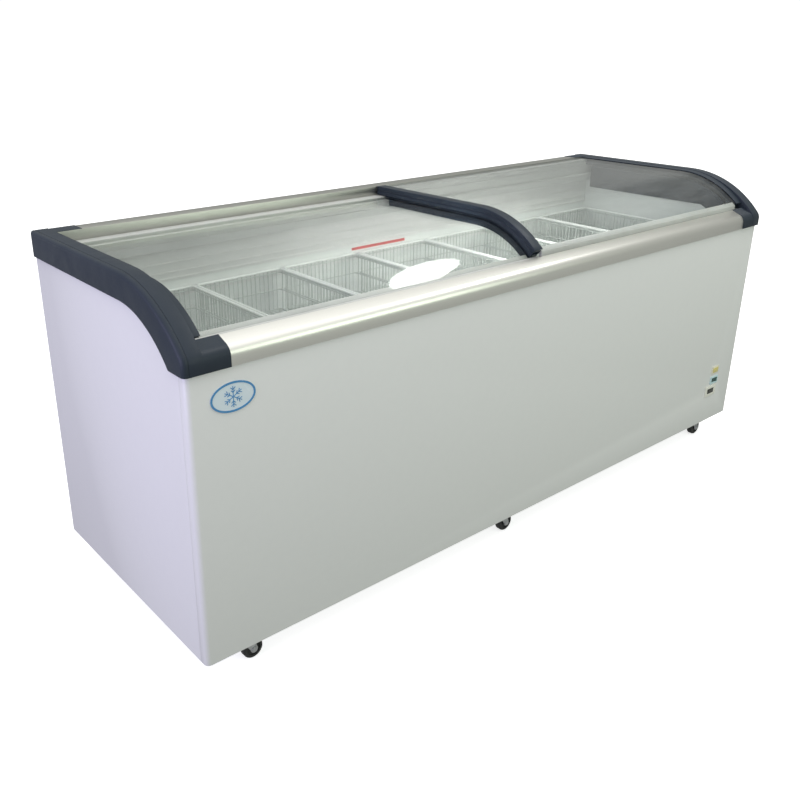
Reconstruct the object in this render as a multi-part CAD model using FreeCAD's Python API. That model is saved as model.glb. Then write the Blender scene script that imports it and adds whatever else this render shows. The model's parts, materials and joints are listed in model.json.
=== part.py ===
"""Chest freezer with a curved glass top, built as the separate pieces it comes apart into.

Millimetres. +X runs along the cabinet to the right, +Y to the back, +Z up. The origin is on
the floor, under the middle of the cabinet. "back" is a distance behind the front panel's face.
"""
import FreeCAD
import Part
import math
import os

Vec = FreeCAD.Vector

# Cabinet
LENGTH = 2050.0
DEPTH = 690.0
UNDERSIDE = 68.0
SHEET = 1.0
PAN = 1.5
CORNER = 12.0
FRONT_WALL_TOP = 715.0
REAR_WALL_TOP = 794.0
PANEL_OVERLAP = 8.0
FRONT_RETURN = 25.0
HALF = LENGTH / 2
INSIDE = HALF - SHEET
PAN_TOP = UNDERSIDE + PAN

# Liner and foam
LINER_HALF = 945.0
LINER_FRONT = 80.0
LINER_REAR = 605.0
LINER_FLOOR = 147.0
LINER_SHEET = 1.0
STEP_X = 640.0
STEP_TOP = 395.0
BAY_X = 715.0
BAY_TOP = 330.0
SIDE_TOP_RADIUS = 229.0

# Trim: the lower edge of the end caps and the ridge that stands above the lids
TRIM = 6.0
TRIM_BOTTOM_FRONT = 716.0
TRIM_BOTTOM_REAR = 807.0
TRIM_BACK, TRIM_Z, TRIM_RADIUS = 239.0, 569.0, 238.0
TOP = 866.0
RIDGE_BACK, RIDGE_RADIUS = 246.0, 327.0
RIDGE_Z = TOP - RIDGE_RADIUS
NOSE_RADIUS = 30.0
RIDGE_WIDTH = 44.0
CAP_WALL = 3.0
BRACKET_FRONT = 96.0
BRACKET_REAR = 100.0

# Lids: both curve about one centre line, one running under the other
LID_BACK, LID_Z = 245.0, 566.0
LID_ANGLE = math.radians(43.0)
GLASS = 5.0
UPPER_RADIUS = 297.5
LOWER_RADIUS = 271.5
UPPER_REAR = 643.0
LOWER_REAR = 612.0
LID_END = 985.0
LID_MIDDLE = 16.0
FRAME_WIDTH = 30.0
FRAME_ABOVE = 2.0
FRAME_BELOW = 22.0

# Ledges that the lids slide on
LEDGE_WALL = 2.5
LEDGE_HALF = 986.0
FRONT_UPPER_LEDGE, FRONT_LOWER_LEDGE = 764.0, 745.0
REAR_UPPER_LEDGE, REAR_LOWER_LEDGE = 839.5, 813.5
SHELF_GAP = 2.0
SLIDE_GAP = 0.3

# Baskets
BASKETS = 7
BASKET_PITCH = 268.0
BASKET_HALF = 128.0
BASKET_FRONT, BASKET_REAR = 94.0, 591.0
BASKET_BOTTOM, BASKET_RIM = 575.0, 695.0
BASKET_WALL = 3.0
RIM = 4.0

# Casters
WHEEL_RADIUS = 25.0
WHEEL_WIDTH = 18.0
AXLE_RADIUS = 4.0
RUNNING_GAP = 0.05
TRAIL = 16.0
CASTER_X = (-905.0, -75.0, 895.0)
CASTER_BACK = (45.0, 645.0)


def at(x, back, z):
    """A point, given its distance behind the front panel's face."""
    return Vec(x, back - DEPTH / 2, z)


def block(x0, x1, back0, back1, z0, z1):
    """A box between two corners."""
    return Part.makeBox(x1 - x0, back1 - back0, z1 - z0, at(x0, back0, z0))


def rod(start, direction, radius, length):
    """A round bar."""
    return Part.makeCylinder(radius, length, start, direction)


def across(x0, x1, start, steps):
    """A prism along X. Each step is a line's end, or an arc's middle and end."""
    here = at(x0, *start)
    edges = []
    for step in steps:
        end = at(x0, step[-2], step[-1])
        if len(step) == 4:
            edges.append(Part.Arc(here, at(x0, step[0], step[1]), end).toShape())
        else:
            edges.append(Part.LineSegment(here, end).toShape())
        here = end
    edges.append(Part.LineSegment(here, at(x0, *start)).toShape())
    return Part.Face(Part.Wire(edges)).extrude(Vec(x1 - x0, 0, 0))


def on_circle(back, z, radius, angle):
    """The point on a circle at an angle forward of its top."""
    return back - radius * math.sin(angle), z + radius * math.cos(angle)


def height_on(back, z, radius, where):
    """How high a circle's upper half is at a distance behind the front face."""
    return z + math.sqrt(radius ** 2 - (back - where) ** 2)


def band(x0, x1, outer, inner, rear, angle=LID_ANGLE):
    """A curved strip about the lids' centre line that runs on flat to the rear."""
    out_front = on_circle(LID_BACK, LID_Z, outer, angle)
    out_middle = on_circle(LID_BACK, LID_Z, outer, angle / 2)
    in_front = on_circle(LID_BACK, LID_Z, inner, angle)
    in_middle = on_circle(LID_BACK, LID_Z, inner, angle / 2)
    steps = [
        out_middle + (LID_BACK, LID_Z + outer),
        (rear, LID_Z + outer),
        (rear, LID_Z + inner),
        (LID_BACK, LID_Z + inner),
        in_middle + in_front,
    ]
    return across(x0, x1, out_front, steps)


def mirrored(shape):
    """The same piece on the other end of the cabinet."""
    return shape.mirror(Vec(0, 0, 0), Vec(1, 0, 0))


def joined(shapes):
    """Several overlapping shapes as one."""
    return shapes[0].fuse(shapes[1:]).removeSplitter()


def round_edges(shape, radius, wanted):
    """Fillets the edges whose middle point satisfies a test."""
    edges = [edge for edge in shape.Edges if wanted(edge)]
    return shape.makeFillet(radius, edges)


def upright(edge):
    """True for a straight edge parallel to Z."""
    first, last = edge.Vertexes[0].Point, edge.Vertexes[-1].Point
    return not edge.Closed and abs(first.x - last.x) < 0.01 and abs(first.y - last.y) < 0.01


def rounded_front(x0, x1, back0, back1, z0, z1, radius):
    """A box with its two upright front edges rounded."""
    limit = at(0, back0 + radius, 0).y
    body = block(x0, x1, back0, back1, z0, z1)
    return round_edges(body, radius, lambda edge: upright(edge) and edge.CenterOfMass.y < limit)


def tube(points, radius, bend):
    """A round tube along straight runs that arcs join."""
    edges = []
    here = points[0]
    for middle, after in zip(points[1:-1], points[2:]):
        into = (here - middle).normalize() * bend
        away = (after - middle).normalize() * bend
        turn = math.pi - into.getAngle(away)
        reach = bend / math.tan(turn / 2)
        centre = middle + (into + away).normalize() * math.hypot(bend, reach)
        arc_middle = centre + (middle - centre).normalize() * reach
        edges.append(Part.LineSegment(here, middle + into).toShape())
        edges.append(Part.Arc(middle + into, arc_middle, middle + away).toShape())
        here = middle + away
    edges.append(Part.LineSegment(here, points[-1]).toShape())
    circle = Part.Edge(Part.Circle(points[0], points[1] - points[0], radius))
    return Part.Wire(edges).makePipeShell([Part.Wire(circle)], True, False)


def save(name, *solids):
    """Writes one sub-part, which may be a group of separate solids."""
    shape = solids[0] if len(solids) == 1 else Part.makeCompound(list(solids))
    shape.exportStep("parts/" + name + ".step")


# Steel casing

CONTROL_HOLES = {
    "display": (898.0, 176.0, 54.0, 28.0),
    "switch": (912.0, 212.0, 36.0, 20.0),
    "light": (910.0, 248.0, 34.0, 20.0),
}


def front_panel():
    """Sheet that wraps both front corners and holds the controls."""
    top = TRIM_BOTTOM_FRONT + TRIM
    skin = rounded_front(-HALF, HALF, 0, 60, UNDERSIDE, top, CORNER)
    skin = skin.cut(rounded_front(-INSIDE, INSIDE, SHEET, 61, 0, top + 1, CORNER - SHEET))
    skin = skin.cut(block(-HALF, HALF, FRONT_RETURN, 70, 0, top + 1))
    for x, z, width, height in CONTROL_HOLES.values():
        skin = skin.cut(block(x - width / 2, x + width / 2, -1, 5, z - height / 2, z + height / 2))
    return skin


def side_outline(radius, front_top, front, rear, bottom):
    """Start and steps of a side wall's outline, with its top curving down to the front."""
    start_back = TRIM_BACK - math.sqrt(radius ** 2 - (front_top - TRIM_Z) ** 2)
    middle_back = (start_back + TRIM_BACK) / 2
    middle = (middle_back, height_on(TRIM_BACK, TRIM_Z, radius, middle_back))
    top = (TRIM_BACK, TRIM_Z + radius)
    steps = [(front, front_top), (start_back, front_top), middle + top]
    return (front, bottom), steps + [(rear, TRIM_Z + radius), (rear, bottom)]


def side_panel():
    """Right-hand side sheet, without its vent."""
    outline = side_outline(
        TRIM_RADIUS + PANEL_OVERLAP, TRIM_BOTTOM_FRONT + PANEL_OVERLAP, FRONT_RETURN, DEPTH, UNDERSIDE
    )
    return across(INSIDE, HALF, *outline)


SIDE_VENT = (150.0, 370.0, 100.0, 280.0)
REAR_VENT = (740.0, 960.0, 130.0, 290.0)
INLET_X, INLET_Z = 840.0, 98.0
INLET_WIDTH, INLET_HEIGHT = 30.0, 22.0


def right_side_panel():
    """Right-hand side sheet with the condenser's vent."""
    back0, back1, z0, z1 = SIDE_VENT
    return side_panel().cut(block(INSIDE - 1, HALF + 1, back0, back1, z0, z1))


def rear_panel():
    """Rear sheet with the compressor's vent and the hole for the power inlet."""
    top = TRIM_BOTTOM_REAR + PANEL_OVERLAP
    sheet = block(-INSIDE, INSIDE, DEPTH - SHEET, DEPTH, UNDERSIDE, top)
    x0, x1, z0, z1 = REAR_VENT
    sheet = sheet.cut(block(x0, x1, DEPTH - 5, DEPTH + 5, z0, z1))
    half_width, half_height = INLET_WIDTH / 2, INLET_HEIGHT / 2
    hole = block(INLET_X - half_width, INLET_X + half_width, DEPTH - 5, DEPTH + 5,
                 INLET_Z - half_height, INLET_Z + half_height)
    return sheet.cut(hole)


DRAIN_X, DRAIN_BACK, DRAIN_RADIUS = -860.0, 150.0, 10.0


def base_pan():
    """Floor sheet, with air slots under the compressor bay and the drain's hole."""
    pan = rounded_front(-INSIDE, INSIDE, SHEET, DEPTH - SHEET, UNDERSIDE, PAN_TOP, CORNER - SHEET)
    slots = [block(740 + 22 * n, 750 + 22 * n, 150, 330, 60, 80) for n in range(8)]
    drain = rod(at(DRAIN_X, DRAIN_BACK, 0), Vec(0, 0, 1), DRAIN_RADIUS, 100)
    return pan.cut(slots + [drain])


# Insulation, liner and evaporator

COIL_RADIUS = 4.0
COIL_OFFSET = 5.0
UPPER_LOOPS = (440.0, 500.0, 560.0, 620.0, 680.0)
LOWER_LOOPS = (180.0, 240.0, 300.0, 360.0)
COIL_BEND = 6.0
RISER_FRONT, RISER_REAR = 380.0, 440.0


def loop_limits(z):
    """Where a turn of the evaporator runs: left, right, front and rear."""
    outer_liner = LINER_HALF + LINER_SHEET
    right = outer_liner if z > STEP_TOP else STEP_X + LINER_SHEET
    front, rear = LINER_FRONT - LINER_SHEET, LINER_REAR + LINER_SHEET
    return -outer_liner - COIL_OFFSET, right + COIL_OFFSET, front - COIL_OFFSET, rear + COIL_OFFSET


def coil_channels():
    """Room in the foam for every turn and for the steps between them."""
    reach = COIL_OFFSET + 1
    channels = []
    for z in UPPER_LOOPS + LOWER_LOOPS:
        left, right, front, rear = loop_limits(z)
        low, high = z - reach, z + reach
        channels.append(block(left - reach, left + COIL_OFFSET, front - reach, rear + reach, low, high))
        channels.append(block(right - COIL_OFFSET, right + reach, front - reach, rear + reach, low, high))
        channels.append(block(left - reach, right + reach, front - reach, front + COIL_OFFSET, low, high))
        channels.append(block(left - reach, right + reach, rear - COIL_OFFSET, rear + reach, low, high))
    left = loop_limits(UPPER_LOOPS[0])[0]
    channels.append(block(left - reach, left + COIL_OFFSET, RISER_FRONT - COIL_BEND, RISER_REAR + COIL_BEND,
                          LOWER_LOOPS[0], UPPER_LOOPS[-1]))
    return channels


def evaporator_coil():
    """One tube wound round the liner, stepping up to the next turn at the left end."""
    path = []
    for z in LOWER_LOOPS + UPPER_LOOPS:
        left, right, front, rear = loop_limits(z)
        path += [at(left, RISER_FRONT, z), at(left, front, z), at(right, front, z)]
        path += [at(right, rear, z), at(left, rear, z), at(left, RISER_REAR, z)]
    return tube(path, COIL_RADIUS, COIL_BEND)


def wall_outline(bottom, front, rear):
    """Side wall outline under the end caps, stepped down at the front for the lid ledges."""
    step_back = LINER_FRONT + 1
    middle = (150.0, height_on(TRIM_BACK, TRIM_Z, SIDE_TOP_RADIUS, 150.0))
    steps = [
        (front, FRONT_WALL_TOP),
        (step_back, FRONT_WALL_TOP),
        (step_back, height_on(TRIM_BACK, TRIM_Z, SIDE_TOP_RADIUS, step_back)),
        middle + (TRIM_BACK, REAR_WALL_TOP),
        (rear, REAR_WALL_TOP),
        (rear, bottom),
    ]
    return (front, bottom), steps


def foam_insulation():
    """Foam slabs between the casing and the liner, round the compressor bay."""
    front0, rear1 = SHEET, DEPTH - SHEET
    front1, rear0 = LINER_FRONT - LINER_SHEET, LINER_REAR + LINER_SHEET
    side0 = LINER_HALF + LINER_SHEET
    step0 = STEP_X + LINER_SHEET
    left = across(-INSIDE, -side0, *wall_outline(PAN_TOP, front0, rear1))
    right = across(side0, INSIDE, *wall_outline(BAY_TOP, front0, rear1))
    corners = rounded_front(-INSIDE, INSIDE, front0, rear1, PAN_TOP, TOP, CORNER - SHEET)
    slabs = [
        left.common(corners),
        right.common(corners),
        block(-side0, side0, front0, front1, BAY_TOP, FRONT_WALL_TOP),
        block(-side0, BAY_X, front0, front1, PAN_TOP, BAY_TOP),
        block(-side0, side0, rear0, rear1, BAY_TOP, REAR_WALL_TOP),
        block(-side0, BAY_X, rear0, rear1, PAN_TOP, BAY_TOP),
        block(-side0, step0, front1, rear0, PAN_TOP, LINER_FLOOR - LINER_SHEET),
        block(step0, BAY_X, front1, rear0, PAN_TOP, BAY_TOP),
        block(step0, side0, front1, rear0, BAY_TOP, STEP_TOP - LINER_SHEET),
    ]
    drain = rod(at(DRAIN_X, DRAIN_BACK, 0), Vec(0, 0, 1), DRAIN_RADIUS, 200)
    cuts = coil_channels() + [drain]
    return [slab.cut(cuts) for slab in slabs]


def inner_liner():
    """Thin tub with a raised step over the compressor bay."""
    t = LINER_SHEET
    outer = block(-LINER_HALF - t, LINER_HALF + t, LINER_FRONT - t, LINER_REAR + t, STEP_TOP - t, TOP)
    outer = outer.fuse(block(-LINER_HALF - t, STEP_X + t, LINER_FRONT - t, LINER_REAR + t,
                             LINER_FLOOR - t, STEP_TOP))
    inner = block(-LINER_HALF, LINER_HALF, LINER_FRONT, LINER_REAR, STEP_TOP, TOP)
    inner = inner.fuse(block(-LINER_HALF, STEP_X, LINER_FRONT, LINER_REAR, LINER_FLOOR, STEP_TOP))
    tub = outer.cut(inner)
    tub = tub.common(across(-HALF, HALF, *wall_outline(100, LINER_FRONT - t, LINER_REAR + t)))
    return tub.cut(rod(at(DRAIN_X, DRAIN_BACK, 0), Vec(0, 0, 1), DRAIN_RADIUS, 200)).removeSplitter()


def liner_collar():
    """White strip with two ribs that finishes the top of the liner's rear wall."""
    half = LINER_HALF - 4
    face = LINER_REAR - 2
    strip = block(-half, half, face, LINER_REAR, 712, REAR_WALL_TOP)
    ribs = [block(-half, half, face - 3, face, z, z + 4) for z in (717, 733, 757)]
    return joined([strip] + ribs)


def basket_ledges():
    """Front and rear angles on the liner that the basket rims hang on."""
    top = BASKET_RIM - RIM - 1
    half = LINER_HALF - 3
    front = block(-half, half, LINER_FRONT, BASKET_FRONT - 1, top - 2, top)
    front = front.fuse(block(-half, half, LINER_FRONT, LINER_FRONT + 2, top - 20, top)).removeSplitter()
    rear = block(-half, half, BASKET_REAR + 1, LINER_REAR, top - 2, top)
    rear = rear.fuse(block(-half, half, LINER_REAR - 2, LINER_REAR, top - 20, top)).removeSplitter()
    return front, rear


def drain_tube():
    """Meltwater drain from the liner's floor through the base."""
    up = Vec(0, 0, 1)
    mouth = rod(at(DRAIN_X, DRAIN_BACK, LINER_FLOOR), up, DRAIN_RADIUS + 6, 1.5)
    pipe = rod(at(DRAIN_X, DRAIN_BACK, UNDERSIDE - 8), up, DRAIN_RADIUS, LINER_FLOOR - UNDERSIDE + 8.5)
    bore = rod(at(DRAIN_X, DRAIN_BACK, 0), up, DRAIN_RADIUS - 2, 200)
    plug = rod(at(DRAIN_X, DRAIN_BACK, LINER_FLOOR - 12), up, DRAIN_RADIUS - 2, 12)
    head = rod(at(DRAIN_X, DRAIN_BACK, LINER_FLOOR + 1.5), up, DRAIN_RADIUS + 4, 4)
    stem = rod(at(DRAIN_X, DRAIN_BACK, LINER_FLOOR - 1), up, DRAIN_RADIUS - 2, 4)
    return joined([mouth, pipe]).cut(bore), joined([plug, stem, head])


# End caps and rails

def ridge_profile(x0, x1, drop):
    """Solid under the end cap's upper outline, lowered by drop, down to the trim's lowest edge."""
    radius, nose = RIDGE_RADIUS - drop, NOSE_RADIUS - drop
    front = -TRIM + drop
    nose_back = -TRIM + NOSE_RADIUS
    reach = RIDGE_RADIUS - NOSE_RADIUS
    nose_z = height_on(RIDGE_BACK, RIDGE_Z, reach, nose_back)
    lean = math.asin((RIDGE_BACK - nose_back) / reach)
    nose_middle = on_circle(nose_back, nose_z, nose, (lean + math.pi / 2) / 2)
    nose_top = on_circle(nose_back, nose_z, nose, lean)
    ridge_middle = on_circle(RIDGE_BACK, RIDGE_Z, radius, lean / 2)
    rear = DEPTH + TRIM - drop
    steps = [
        (front, nose_z),
        nose_middle + nose_top,
        ridge_middle + (RIDGE_BACK, RIDGE_Z + radius),
        (rear, TOP - drop),
        (rear, TRIM_BOTTOM_FRONT),
    ]
    return across(x0, x1, (front, TRIM_BOTTOM_FRONT), steps)


def below_trim():
    """Everything under the lower edge of an end cap."""
    start, steps = side_outline(TRIM_RADIUS, TRIM_BOTTOM_FRONT, -20, DEPTH + 20, 600)
    return across(LINER_HALF - 100, HALF + 20, start, steps)


def rail_outline(grow):
    """Start and steps of the front rail's outer outline, moved outward by grow."""
    start = (-5 - grow, TRIM_BOTTOM_FRONT)
    steps = [
        (-4.5 - grow, 735.0),
        (0.6 - 0.8 * grow, 750.3 + 0.6 * grow, 14.0 - 0.4 * grow, 758.5 + grow),
        (37.0, 768.0 + grow),
        (37.0, TRIM_BOTTOM_FRONT),
    ]
    return start, steps


REAR_RAIL_FRONT = 645.0


def rear_rail_outline(grow):
    """Start and steps of the rear rail's outer outline, moved outward by grow."""
    rear, top = DEPTH + TRIM - 1 + grow, TOP - 1 + grow
    start = (REAR_RAIL_FRONT, REAR_UPPER_LEDGE)
    return start, [(REAR_RAIL_FRONT, top), (rear - 6, top), (rear - 1.8, top - 1.8, rear, top - 6),
                   (rear, TRIM_BOTTOM_REAR), (REAR_RAIL_FRONT, TRIM_BOTTOM_REAR)]


def end_cap(shelf_radius):
    """Right-hand end cap: ridge, fascia, lid recess, inner skirt and the two rail brackets."""
    ridge_inner = HALF + TRIM - RIDGE_WIDTH
    outside = HALF + TRIM
    shell = ridge_profile(ridge_inner, outside, 0)
    soft = at(0, 0, TRIM_BOTTOM_FRONT + 5)

    def is_outer(edge):
        return min(v.Point.x for v in edge.Vertexes) > outside - 0.01 and edge.CenterOfMass.z > soft.z

    shell = round_edges(shell, 10, is_outer)
    groove = ridge_profile(outside - 13.2, outside - 12, -1).cut(ridge_profile(outside - 14, outside, 0.8))
    shell = shell.cut(groove)
    shell = shell.cut(ridge_profile(ridge_inner + CAP_WALL, HALF, 4))
    under = below_trim()
    shelf = band(LINER_HALF - CAP_WALL, ridge_inner + CAP_WALL, shelf_radius, shelf_radius - CAP_WALL,
                 UPPER_REAR)
    inner_wall_room = band(ridge_inner - 1, ridge_inner + CAP_WALL, shelf_radius - CAP_WALL, 100, 800,
                           math.radians(80))
    shell = shell.cut([under, inner_wall_room])
    skirt = inner_skirt(shelf_radius)
    front_room = block(LINER_HALF - 10, ridge_inner - 0.5, -10, LINER_FRONT + 0.5, 700, 800)
    rear_room = block(LINER_HALF - 10, ridge_inner - 0.5, 585.0, 750.0, 700, TOP)
    shelf = shelf.fuse(skirt).cut([front_room, rear_room])
    rail_room = across(HALF - BRACKET_FRONT - 5, outside, *rail_outline(0))
    front_bracket = across(HALF - BRACKET_FRONT, ridge_inner + 1, *rail_outline(1)).cut(rail_room)
    rear_room = across(HALF - BRACKET_REAR - 5, outside, *rear_rail_outline(0))
    rear_bracket = across(HALF - BRACKET_REAR, ridge_inner + 1, *rear_rail_outline(1)).cut(rear_room)
    rail_slots = [across(ridge_inner - 2, ridge_inner + CAP_WALL, *rail_outline(0)),
                  across(ridge_inner - 2, ridge_inner + CAP_WALL, *rear_rail_outline(0))]
    return joined([shell.cut(rail_slots), shelf, front_bracket, rear_bracket])


def inner_skirt(shelf_radius):
    """Upright strip of an end cap that hangs from the shelf in front of the liner's side wall."""
    bottom_z, bottom_radius = 768.0, 222.0
    join = LID_BACK - math.sqrt(bottom_radius ** 2 - (bottom_z - LID_Z) ** 2)
    low_middle_back = (join + on_circle(LID_BACK, LID_Z, bottom_radius, LID_ANGLE)[0]) / 2
    steps = [
        on_circle(LID_BACK, LID_Z, shelf_radius, LID_ANGLE / 2) + (LID_BACK, LID_Z + shelf_radius),
        (LOWER_REAR - 27, LID_Z + shelf_radius),
        (LOWER_REAR - 27, bottom_z),
        (join, bottom_z),
        (low_middle_back, height_on(LID_BACK, LID_Z, bottom_radius, low_middle_back))
        + on_circle(LID_BACK, LID_Z, bottom_radius, LID_ANGLE),
    ]
    start = on_circle(LID_BACK, LID_Z, shelf_radius, LID_ANGLE)
    return across(LINER_HALF - CAP_WALL, LINER_HALF, start, steps)


def front_rail():
    """Aluminium extrusion along the top of the front wall."""
    end = HALF + TRIM - RIDGE_WIDTH
    rail = across(-end, end, *rail_outline(0))
    hollow = across(-end - 1, end + 1, (-3, 700), [
        (-2.5, 735.0), (2.2, 749.0, 14.5, 756.4), (35.0, 765.0), (35.0, 700)])
    lip = block(-end, end, -4, -0.2, TRIM_BOTTOM_FRONT, TRIM_BOTTOM_FRONT + 2)
    return rail.cut(hollow).fuse(lip).removeSplitter()


def rear_rail():
    """Aluminium extrusion along the top of the rear wall."""
    end = HALF + TRIM - RIDGE_WIDTH
    rail = across(-end, end, *rear_rail_outline(0))
    room = block(-end - 1, end + 1, REAR_RAIL_FRONT + 2, DEPTH + TRIM - 3, 800, TOP - 3)
    below = block(-end - 1, end + 1, REAR_RAIL_FRONT - 1, DEPTH + TRIM - 3, 790, REAR_UPPER_LEDGE)
    return rail.cut([room, below])


def front_lid_track():
    """Two ledges behind the front rail, for the lids' front runners."""
    base, w = FRONT_WALL_TOP, LEDGE_WALL
    high, low = FRONT_UPPER_LEDGE, FRONT_LOWER_LEDGE
    outer = across(-LEDGE_HALF, LEDGE_HALF, (38, base), [
        (38, high), (55, high), (55, low), (80, low), (80, base)])
    inner = across(-HALF, HALF, (38 + w, base - 1), [
        (38 + w, high - w), (55 - w, high - w), (55 - w, low - w), (80 - w, low - w), (80 - w, base - 1)])
    return outer.cut(inner)


def rear_lid_track():
    """Two ledges in front of the rear rail, for the lids' rear runners."""
    base, w = REAR_WALL_TOP, LEDGE_WALL
    high, low = REAR_UPPER_LEDGE, REAR_LOWER_LEDGE
    outer = across(-LEDGE_HALF, LEDGE_HALF, (588, base), [
        (588, low), (614, low), (614, high), (688, high), (688, base)])
    inner = across(-HALF, HALF, (588 + w, base - 1), [
        (588 + w, low - w), (614 + w, low - w), (614 + w, high - w),
        (688 - w, high - w), (688 - w, base - 1)])
    return outer.cut(inner)


# Lids

def lid_glass(x0, x1, radius, rear):
    """Curved pane, let into the frames on both sides."""
    return band(x0 + CAP_WALL, x1 - CAP_WALL, radius, radius - GLASS, rear)


def lid_frame(x0, x1, radius, rear, closed_side):
    """Box-section frame along one side of a lid, slotted for the glass.

    closed_side is -1 where the frame's outer face is its left one, and 1 where it is the right.
    """
    bar = band(x0, x1, radius + FRAME_ABOVE, radius - FRAME_BELOW, rear)
    wide = math.radians(60)
    wall = CAP_WALL
    slot0 = x0 + wall if closed_side < 0 else x0 - 1
    slot1 = x1 + 1 if closed_side < 0 else x1 - wall
    slot = band(slot0, slot1, radius, radius - GLASS, rear + 10, wide)
    pocket = band(x0 + wall, x1 - wall, radius - GLASS - wall, radius - FRAME_BELOW + wall, rear + 10, wide)
    face = x0 if closed_side < 0 else x1
    groove = band(face - 0.8, face + 0.8, radius - 10, radius - 11.5, rear + 10, wide)
    return bar.cut([slot, pocket, groove])


def front_runner(x0, x1, back0, back1, ledge, radius):
    """Plastic foot under a lid's front edge."""
    middle = (back0 + back1) / 2
    steps = [
        (back1, ledge + SLIDE_GAP),
        (back1, height_on(LID_BACK, LID_Z, radius, back1)),
        (middle, height_on(LID_BACK, LID_Z, radius, middle),
         back0, height_on(LID_BACK, LID_Z, radius, back0)),
    ]
    return across(x0, x1, (back0, ledge + SLIDE_GAP), steps)


def rear_runner(x0, x1, back0, back1, ledge, radius):
    """Plastic channel under a lid's rear edge."""
    top = LID_Z + radius
    bar = block(x0, x1, back0, back1, ledge + SLIDE_GAP, top)
    room = block(x0 - 1, x1 + 1, back0 + 2.5, back1 - 2.5, ledge - 5, top - 2.5)
    return bar.cut(room)


def right_lid():
    """Upper lid, over the right half."""
    x0, x1, r, rear = -LID_MIDDLE, LID_END, UPPER_RADIUS, UPPER_REAR
    save("right_lid_glass", lid_glass(x0, x1, r, rear))
    save("right_lid_handle_frame", lid_frame(x0, x0 + FRAME_WIDTH, r, rear, -1))
    save("right_lid_end_frame", lid_frame(x1 - FRAME_WIDTH, x1, r, rear, 1))
    inner0, inner1 = x0 + FRAME_WIDTH, x1 - FRAME_WIDTH
    save("right_lid_runners",
         front_runner(inner0, inner1, 43.8, 54.0, FRONT_UPPER_LEDGE, r - GLASS),
         rear_runner(inner0, inner1, 618.0, 640.0, REAR_UPPER_LEDGE, r - GLASS))


def left_lid():
    """Lower lid, over the left half."""
    x0, x1, r, rear = -LID_END, LID_MIDDLE, LOWER_RADIUS, LOWER_REAR
    save("left_lid_glass", lid_glass(x0, x1, r, rear))
    save("left_lid_outer_frame", lid_frame(x0, x0 + FRAME_WIDTH, r, rear, -1))
    save("left_lid_inner_frame", lid_frame(x1 - FRAME_WIDTH, x1, r, rear, 1))
    inner0, inner1 = x0 + FRAME_WIDTH, x1 - FRAME_WIDTH
    save("left_lid_runners",
         front_runner(inner0, inner1, 60.0, 72.0, FRONT_LOWER_LEDGE, r - GLASS),
         rear_runner(inner0, inner1, 592.0, 609.0, REAR_LOWER_LEDGE, r - GLASS))


# Baskets

def basket(number):
    """Open-topped basket with a rim that hangs on the ledges."""
    x = (number - (BASKETS - 1) / 2) * BASKET_PITCH
    h, w = BASKET_HALF, BASKET_WALL
    body = block(x - h, x + h, BASKET_FRONT, BASKET_REAR, BASKET_BOTTOM, BASKET_RIM)
    rim = block(x - h - RIM, x + h + RIM, BASKET_FRONT - RIM, BASKET_REAR + RIM,
                BASKET_RIM - RIM, BASKET_RIM)
    room = block(x - h + w, x + h - w, BASKET_FRONT + w, BASKET_REAR - w, BASKET_BOTTOM + w, BASKET_RIM + 1)
    return body.fuse(rim).cut(room).removeSplitter()


# Casters

PLATE_HALF = 30.0
PLATE = 2.5
RACE_RADIUS, RACE_BOTTOM = 20.0, 59.0
CROWN_TOP, CROWN = 58.7, 3.0
PIN_RADIUS = 5.0
PIN_HEAD_RADIUS, PIN_HEAD = 8.0, 2.6
BOLT_REACH = 23.0
FORK_GAP = 1.5
FORK_WALL = 2.0


def caster_plate(x, back):
    """Bolted top plate with its race, king pin and four bolt heads."""
    down = Vec(0, 0, -1)
    plate = block(x - PLATE_HALF, x + PLATE_HALF, back - PLATE_HALF, back + PLATE_HALF,
                  UNDERSIDE - PLATE, UNDERSIDE)
    plate = round_edges(plate, 6, upright)
    race_top = UNDERSIDE - PLATE
    race = rod(at(x, back, race_top), down, RACE_RADIUS, race_top - RACE_BOTTOM)
    crown_bottom = CROWN_TOP - CROWN
    pin = rod(at(x, back, race_top), down, PIN_RADIUS, race_top - crown_bottom + 1)
    head = rod(at(x, back, crown_bottom - 0.3), down, PIN_HEAD_RADIUS, PIN_HEAD)
    bolts = [rod(at(x + i * BOLT_REACH, back + j * BOLT_REACH, race_top + 0.5), down, 5, 4)
             for i in (-1, 1) for j in (-1, 1)]
    return joined([plate, race, pin, head] + bolts)


def caster_fork(x, back):
    """Pressed fork with its axle."""
    crown_bottom = CROWN_TOP - CROWN
    reach = WHEEL_WIDTH / 2 + FORK_GAP
    crown = rod(at(x, back, crown_bottom), Vec(0, 0, 1), RACE_RADIUS - 1, CROWN)
    pieces = [crown]
    for inner in (reach, -reach - FORK_WALL):
        leg = across_fork(x, back + inner)
        pieces.append(leg)
    fork = joined(pieces)
    fork = fork.cut(rod(at(x, back, 0), Vec(0, 0, 1), PIN_RADIUS + RUNNING_GAP, 100))
    length = 2 * (reach + FORK_WALL + 2.5)
    axle = rod(at(x + TRAIL, back - length / 2, WHEEL_RADIUS), Vec(0, 1, 0), AXLE_RADIUS, length)
    heads = [rod(at(x + TRAIL, back + side, WHEEL_RADIUS), Vec(0, 1, 0), 6.5, 2.5)
             for side in (reach + FORK_WALL, -length / 2)]
    return joined([fork, axle] + heads)


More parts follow.
